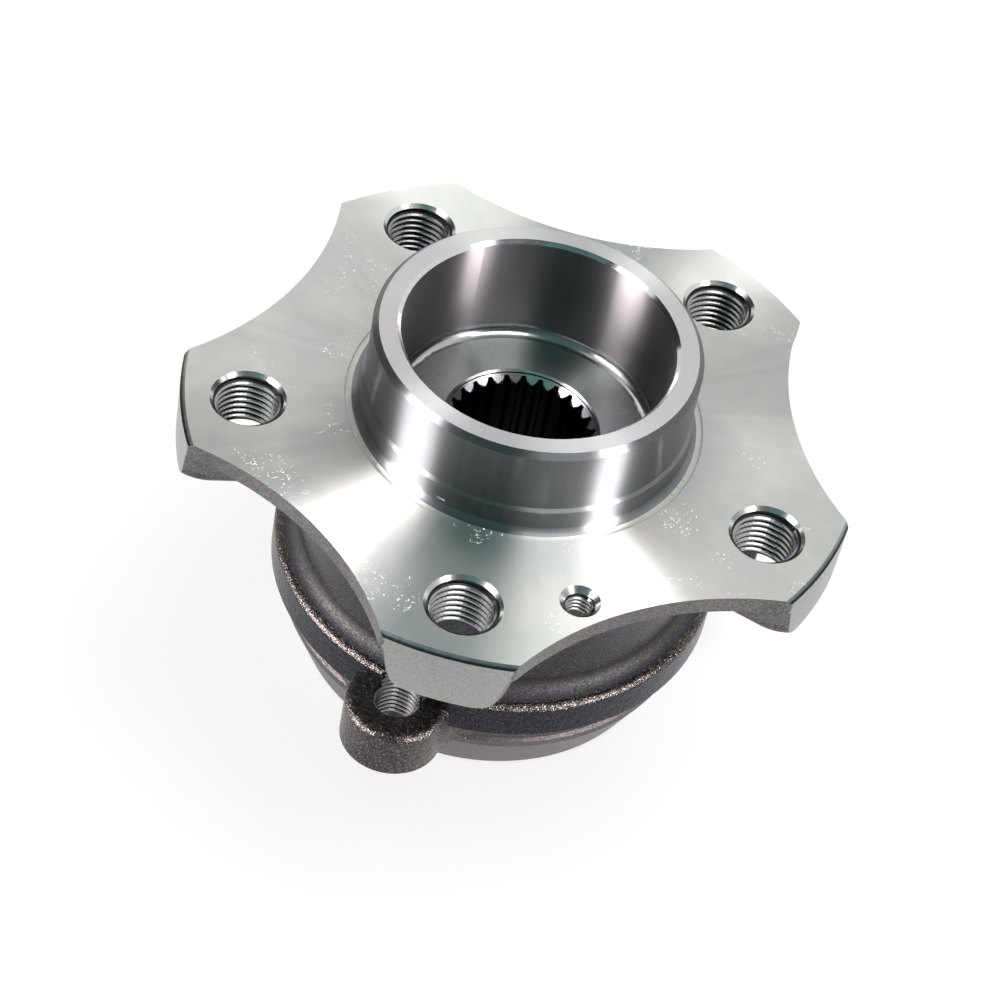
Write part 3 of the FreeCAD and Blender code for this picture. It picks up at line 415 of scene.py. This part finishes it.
def paint_outer_ring():
    ring = Faces("outer_ring")
    hole_mm = 5.5
    tapped = np.zeros(len(ring.radius), bool)
    for angle in EAR_ANGLES:
        near = ring.from_hole(EAR_BOLT_CIRCLE_MM, angle) < hole_mm
        tapped |= near & (ring.toward_hole(EAR_BOLT_CIRCLE_MM, angle) > 0.5)
    ring.paint(outer_ring_finishes(), [
        # Drum wall, and the band round the collar, in darker copies of the forging: painted shade under the
        # hub's flange
        ("drum", ring.zone(radius=(42.5, 43.4), height=(18.5, FAR), up=(-0.5, 0.5))),
        ("band", ring.zone(radius=(46.6, 47.4), up=(-0.3, 0.3), out=(0.97, FAR))),
        # Raceways and seal bores, then the drum's top in the drum's painted shade
        ("ground", ring.zone(radius=(-FAR, 42.0), height=(-12.3, FAR))),
        ("drum", ring.zone(radius=(37.6, FAR), height=(41.2, FAR))),
        # The flare above the collar, darkened as painted shade, the waist below it, and the spigot
        ("flare", ring.zone(radius=(42.5, FAR), height=(14.85, 19.5))),
        ("waist", ring.zone(radius=(43.0, 43.9), height=(0.05, 6.1), out=(0.5, FAR))),
        ("spigot", ring.zone(radius=(37.6, 44.5), height=(-FAR, 0.05))),
        # Walls of the ears' bolt holes, in a dark copy of the cut steel: painted shade
        ("hole", tapped & between(ring.up, (-0.8, 0.8))),
    ])


def paint_inner_parts():
    steel = machined("bearing_steel", (0.42, 0.43, 0.44), (0.52, 0.53, 0.54), roughness=0.34, anisotropy=0.8)
    ball = machined("ball_steel", (0.52, 0.53, 0.55), (0.60, 0.61, 0.62), roughness=0.08, mark_mm=1.5,
                    mark_depth_mm=0.0001)
    cage = moulded("cage_polymer", (0.045, 0.043, 0.040), (0.075, 0.070, 0.065), roughness=0.45)
    sheet = machined("seal_sheet", (0.34, 0.34, 0.35), (0.44, 0.44, 0.45), roughness=0.32, anisotropy=0.3)
    rubber = moulded("seal_rubber", (0.018, 0.018, 0.019), (0.03, 0.03, 0.032), roughness=0.55)
    encoder = moulded("encoder_rubber", (0.020, 0.019, 0.018), (0.035, 0.033, 0.031), roughness=0.4)
    by_start = {
        "inner_ring": steel, "ball_": ball, "cage_": cage, "slinger": sheet, "encoder": encoder,
        "outboard_seal_core": sheet, "inboard_seal_case": sheet,
        "outboard_seal_lip": rubber, "inboard_seal_lip": rubber,
    }
    for name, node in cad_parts.items():
        for start, finish in by_start.items():
            if name.startswith(start):
                node.data.materials.clear()
                node.data.materials.append(finish)


# A tapped hole's thread in millimetres: radius of the hole's wall and of the ridge's crest, pitch, and the
# heights between which the ridge runs.
Thread = namedtuple("Thread", "wall crest pitch low high")
WHEEL_BOLT_THREAD = Thread(wall=7.0, crest=6.19, pitch=1.5, low=40.2, high=52.6)
DISC_SCREW_THREAD = Thread(wall=3.0, crest=2.46, pitch=1.0, low=46.9, high=52.2)
EAR_THREAD = Thread(wall=5.0, crest=4.32, pitch=1.25, low=0.9, high=16.2)

STEPS_PER_TURN = 48
FADE_STEPS = STEPS_PER_TURN / 2
HALF_FOOT_SHARE = 0.4375
HALF_CREST_SHARE = 0.125
ROOT_IN_WALL_MM = 0.04
WALL_TOLERANCE_MM = 0.25
SHORTEST_RUN = 4

# The ridge's sides that catch the light: its crest, and the part of the upper flank next to it. They take
# the first finish, and the other sides take the second, a dark copy of the same steel: painted shade.
BRIGHT_SIDES = (1, 2)


def ridge_profile(thread):
    """The ridge's corners as rise and radius, from its lower foot over the crest to its upper foot."""
    half_foot = HALF_FOOT_SHARE * thread.pitch
    half_crest = HALF_CREST_SHARE * thread.pitch
    root = thread.wall + ROOT_IN_WALL_MM
    middle = (0.5 * (half_foot + half_crest), 0.5 * (thread.wall + thread.crest))
    return ((-half_foot, root), (-half_crest, thread.crest), (half_crest, thread.crest), middle,
            (half_foot, root))


def lift(rise_mm):
    return Vector((0.0, 0.0, rise_mm * MM))


def has_wall(tree, start, out, thread, height):
    """True where the hole's wall stands behind the whole foot of the ridge."""
    half_foot = HALF_FOOT_SHARE * thread.pitch
    for rise in (-half_foot, 0.0, half_foot):
        foot = start + lift(min(rise, thread.high - height))
        hit = tree.ray_cast(foot, out, thread.wall * 2.0 * MM)
        if hit[0] is None or abs(hit[3] / MM - thread.wall) >= WALL_TOLERANCE_MM:
            return False
    return True


def ridge_sections(tree, axis, thread):
    """The ridge's section at each step of the helix, or None where the hole has no wall to carry it."""
    count = int((thread.high - thread.low) / thread.pitch * STEPS_PER_TURN)
    sections = []
    for step in range(count + 1):
        height = thread.low + thread.pitch * step / STEPS_PER_TURN
        turn = 2 * math.pi * step / STEPS_PER_TURN
        out = Vector((math.cos(turn), math.sin(turn), 0.0))
        start = axis + lift(height)
        if not has_wall(tree, start, out, thread, height):
            sections.append(None)
            continue
        fade = min(1.0, step / FADE_STEPS, (count - step) / FADE_STEPS)
        section = []
        for rise, reach in ridge_profile(thread):
            radius = thread.wall + (reach - thread.wall) * fade if reach < thread.wall else reach
            radius = max(radius, thread.wall - max(0.0, thread.high - (height + rise)))
            section.append(start + out * (radius * MM) + lift(rise))
        sections.append(section)
    return sections


def split_runs(sections):
    """The unbroken runs of sections that are long enough to show."""
    runs = []
    run = []
    for section in sections + [None]:
        if section is not None:
            run.append(section)
            continue
        if len(run) >= SHORTEST_RUN:
            runs.append(run)
        run = []
    return runs


def thread_ridge(name, node, axis, thread, finishes, body):
    """A helical ridge inside a tapped hole, closed at both ends of each run, its shaded sides and ends
    painted dark.
    """
    tree = BVHTree.FromObject(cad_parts[node], bpy.context.evaluated_depsgraph_get())
    points, faces, painted_shades = [], [], []
    for run in split_runs(ridge_sections(tree, axis, thread)):
        base = len(points)
        sides = len(run[0])
        for section in run:
            points.extend(section)
        for row in range(len(run) - 1):
            for side in range(sides):
                a = base + row * sides + side
                b = base + row * sides + (side + 1) % sides
                faces.append((a, b, b + sides, a + sides))
                painted_shades.append(0 if side in BRIGHT_SIDES else 1)
        last = base + (len(run) - 1) * sides
        faces.append(tuple(base + side for side in reversed(range(sides))))
        faces.append(tuple(last + side for side in range(sides)))
        painted_shades.extend((1, 1))
    mesh = bpy.data.meshes.new(name)
    mesh.from_pydata(points, [], faces)
    for finish in finishes:
        mesh.materials.append(finish)
    mesh.polygons.foreach_set("material_index", painted_shades)
    mesh.update()
    piece = bpy.data.objects.new(name, mesh)
    bpy.context.scene.collection.objects.link(piece)
    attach(piece, body)


def cut_threads():
    fine = {"mark_mm": 0.1, "mark_depth_mm": 0.001}
    # A near-black copy of the threads' steel for the ridges' shaded sides and ends: painted shade.
    root = machined("thread_painted_shade", (0.02, 0.02, 0.021), (0.05, 0.05, 0.052), roughness=0.35)
    steel = machined("thread_steel", (0.25, 0.255, 0.26), (0.40, 0.405, 0.41), roughness=0.24, **fine)
    forging = machined("thread_forging", (0.26, 0.25, 0.245), (0.42, 0.41, 0.40), roughness=0.28, **fine)
    for number, angle in enumerate(WHEEL_BOLT_ANGLES, start=1):
        axis = polar(WHEEL_BOLT_CIRCLE_MM * MM, angle)
        thread_ridge("wheel_bolt_thread_%d" % number, "hub", axis, WHEEL_BOLT_THREAD, (steel, root),
                     "hub")
    axis = polar(DISC_SCREW_CIRCLE_MM * MM, DISC_SCREW_ANGLE)
    thread_ridge("disc_screw_thread", "hub", axis, DISC_SCREW_THREAD, (steel, root), "hub")
    for letter, angle in zip("abc", EAR_ANGLES):
        axis = polar(EAR_BOLT_CIRCLE_MM * MM, angle)
        thread_ridge("knuckle_bolt_thread_" + letter, "outer_ring", axis, EAR_THREAD, (forging, root),
                     "outer_ring")


# The floor is level with the object's lowest face, and the lamp and the patches stand round its middle.
# TO_CAMERA is the way from there to the camera.
FLOOR_Z = -13.0 * MM
FLOOR_HALF = 6.0
CENTRE = Vector((0.0, 0.0, 0.045))
TO_CAMERA = Vector((-0.5875, 0.3795, 0.7148))

# Points along the long and the short side of a patch.
LONG_SIDE = 25
SHORT_SIDE = 13


def make_floor():
    """A white floor that takes the object's shadow and is clear from below."""
    left, right = -FLOOR_HALF, FLOOR_HALF
    corners = [(left, left), (right, left), (right, right), (left, right)]
    mesh = bpy.data.meshes.new("floor")
    mesh.from_pydata([(x, y, FLOOR_Z) for x, y in corners], [], [(0, 1, 2, 3)])
    material = bpy.data.materials.new("floor_white")
    material.use_nodes = True
    graph = Graph(material.node_tree)
    glow_strength = graph.calc("MULTIPLY", graph.seen_by_eye_or_mirror(), 0.80)
    glow = graph.node("ShaderNodeEmission", {"Color": opaque(WHITE), "Strength": glow_strength})
    diffuse = graph.node("ShaderNodeBsdfDiffuse", {"Color": opaque((0.32, 0.32, 0.32))})
    front = graph.node("ShaderNodeAddShader", {0: diffuse.outputs[0], 1: glow.outputs[0]})
    clear = graph.node("ShaderNodeBsdfTransparent")
    is_back = graph.node("ShaderNodeNewGeometry").outputs["Backfacing"]
    both = graph.node("ShaderNodeMixShader", {0: is_back, 1: front.outputs[0], 2: clear.outputs[0]})
    graph.node("ShaderNodeOutputMaterial", {"Surface": both.outputs[0]})
    mesh.materials.append(material)
    floor = bpy.data.objects.new("floor", mesh)
    bpy.context.scene.collection.objects.link(floor)


def make_world():
    """White to the eye and in reflections, and a slightly blue grey as light on the object."""
    world = bpy.data.worlds.new("studio")
    world.use_nodes = True
    graph = Graph(world.node_tree)
    colour = graph.blend(graph.seen_by_eye_or_mirror(), (0.55, 0.56, 0.57), WHITE)
    background = graph.node("ShaderNodeBackground", {"Color": colour, "Strength": 1.0})
    graph.node("ShaderNodeOutputWorld", {"Surface": background.outputs[0]})
    bpy.context.scene.world = world


def studio_patch(name, directions, distance, shade=0.0, glow=0.0, tint=WHITE):
    """A curved flag or softbox that only reflections show. directions[i][j] are unit vectors."""
    rows = len(directions[0])
    points = [CENTRE + distance * way for column in directions for way in column]
    faces = []
    for i in range(len(directions) - 1):
        for j in range(rows - 1):
            a = i * rows + j
            faces.append((a, a + 1, a + rows + 1, a + rows))
    mesh = bpy.data.meshes.new(name)
    mesh.from_pydata(points, [], faces)
    finish = Finish(name)
    finish.set(Base_Color=opaque((shade, shade, shade)), Roughness=0.9, Emission_Color=opaque(tint),
               Emission_Strength=glow)
    mesh.materials.append(finish.material)
    patch = bpy.data.objects.new(name, mesh)
    bpy.context.scene.collection.objects.link(patch)
    patch.visible_camera = False
    patch.visible_diffuse = False
    patch.visible_shadow = False
    patch.visible_transmission = False


def steps_between(ends, count):
    return [ends[0] + (ends[1] - ends[0]) * k / (count - 1) for k in range(count)]


def sky_way(azimuth, elevation):
    """The unit vector towards a point of the sky."""
    return polar(math.cos(math.radians(elevation)), azimuth, math.sin(math.radians(elevation)))


def dark_flag(name, azimuths, elevations, distance, shade):
    ways = [[sky_way(azimuth, elevation) for elevation in steps_between(elevations, SHORT_SIDE)]
            for azimuth in steps_between(azimuths, LONG_SIDE)]
    studio_patch(name, ways, distance, shade=shade)


def mirrored_patch(name, spokes, tilts, distance, **look):
    """A patch that a turned face mirrors to the camera.

    It shows along the spokes, which are angles round the axis, through tool marks tilted by tilts.
    """
    ways = []
    for spoke in steps_between(spokes, SHORT_SIDE):
        column = []
        for tilt in steps_between(tilts, LONG_SIDE):
            half = sky_way(spoke, 90.0 - tilt)
            column.append(2.0 * TO_CAMERA.dot(half) * half - TO_CAMERA)
        ways.append(column)
    studio_patch(name, ways, distance, **look)


def area_light(name, azimuth, elevation, distance, size, power):
    """A lamp that faces the object and shows neither to the eye nor in reflections."""
    light = bpy.data.lights.new(name, "AREA")
    light.shape = "RECTANGLE"
    light.size = size
    light.size_y = size
    light.energy = power
    lamp = bpy.data.objects.new(name, light)
    bpy.context.scene.collection.objects.link(lamp)
    away = sky_way(azimuth, elevation)
    lamp.location = CENTRE + away * distance
    lamp.rotation_euler = (-away).to_track_quat("-Z", "Y").to_euler()
    lamp.visible_camera = False
    lamp.visible_glossy = False


def make_lights():
    pink = (1.0, 0.955, 0.975)
    green = (0.35, 1.0, 0.93)
    box, flag = 1.3, 1.5
    # Softboxes for the bright streaks, at the distance box
    mirrored_patch("softbox_left", (106.0, 120.0), (36.0, 52.0), box, glow=8.0, tint=pink)
    mirrored_patch("softbox_left_low", (103.0, 118.0), (52.0, 64.0), box, glow=46.0, tint=pink)
    mirrored_patch("softbox_right", (177.0, 184.0), (36.0, 52.0), box, glow=8.0, tint=pink)
    mirrored_patch("softbox_right_low", (178.0, 187.5), (52.0, 64.0), box, glow=56.0, tint=pink)
    mirrored_patch("softbox_top", (154.0, 177.0), (26.0, 38.0), box, glow=6.0)
    # Flags for the dark fields between and beside the streaks, behind the softboxes at the distance flag
    mirrored_patch("flag_between", (126.0, 154.0), (14.0, 88.0), flag, shade=0.01, glow=0.16, tint=green)
    mirrored_patch("flag_between_low", (154.0, 170.0), (46.0, 88.0), flag, shade=0.01, glow=0.10, tint=green)
    mirrored_patch("flag_beyond", (66.0, 99.0), (24.0, 88.0), flag, shade=0.02)
    mirrored_patch("flag_aside", (190.0, 222.0), (46.0, 88.0), flag, shade=0.08, glow=0.08, tint=green)
    # The lamp that gives the soft light and the shadow, and a dark field in front of the object
    area_light("key", azimuth=275.0, elevation=62.0, distance=1.4, size=1.1, power=9.0)
    dark_flag("flag_front", azimuths=(88.0, 202.0), elevations=(-8.0, 84.0), distance=1.9, shade=0.02)


def make_camera():
    """The photograph's viewpoint. The camera is rolled, and the object stands upright."""
    data = bpy.data.cameras.new("camera")
    data.sensor_width = 36.0
    data.lens = 110.2
    data.shift_x = -0.0250
    data.shift_y = -0.0075
    data.clip_start = 0.01
    data.clip_end = 50.0
    camera = bpy.data.objects.new("camera", data)
    bpy.context.scene.collection.objects.link(camera)
    right = Vector((-0.40015, -0.90392, 0.15099))
    up = Vector((0.70338, -0.19731, 0.68288))
    back = Vector((-0.58748, 0.37946, 0.71476))
    place = Vector((-0.37598, 0.23842, 0.48412))
    camera.matrix_world = Matrix.Translation(place) @ Matrix((right, up, back)).transposed().to_4x4()
    bpy.context.scene.camera = camera


paint_hub()
paint_outer_ring()
paint_inner_parts()
cut_threads()
make_floor()
make_world()
make_lights()
make_camera()
bpy.context.scene.view_settings.view_transform = "Standard"
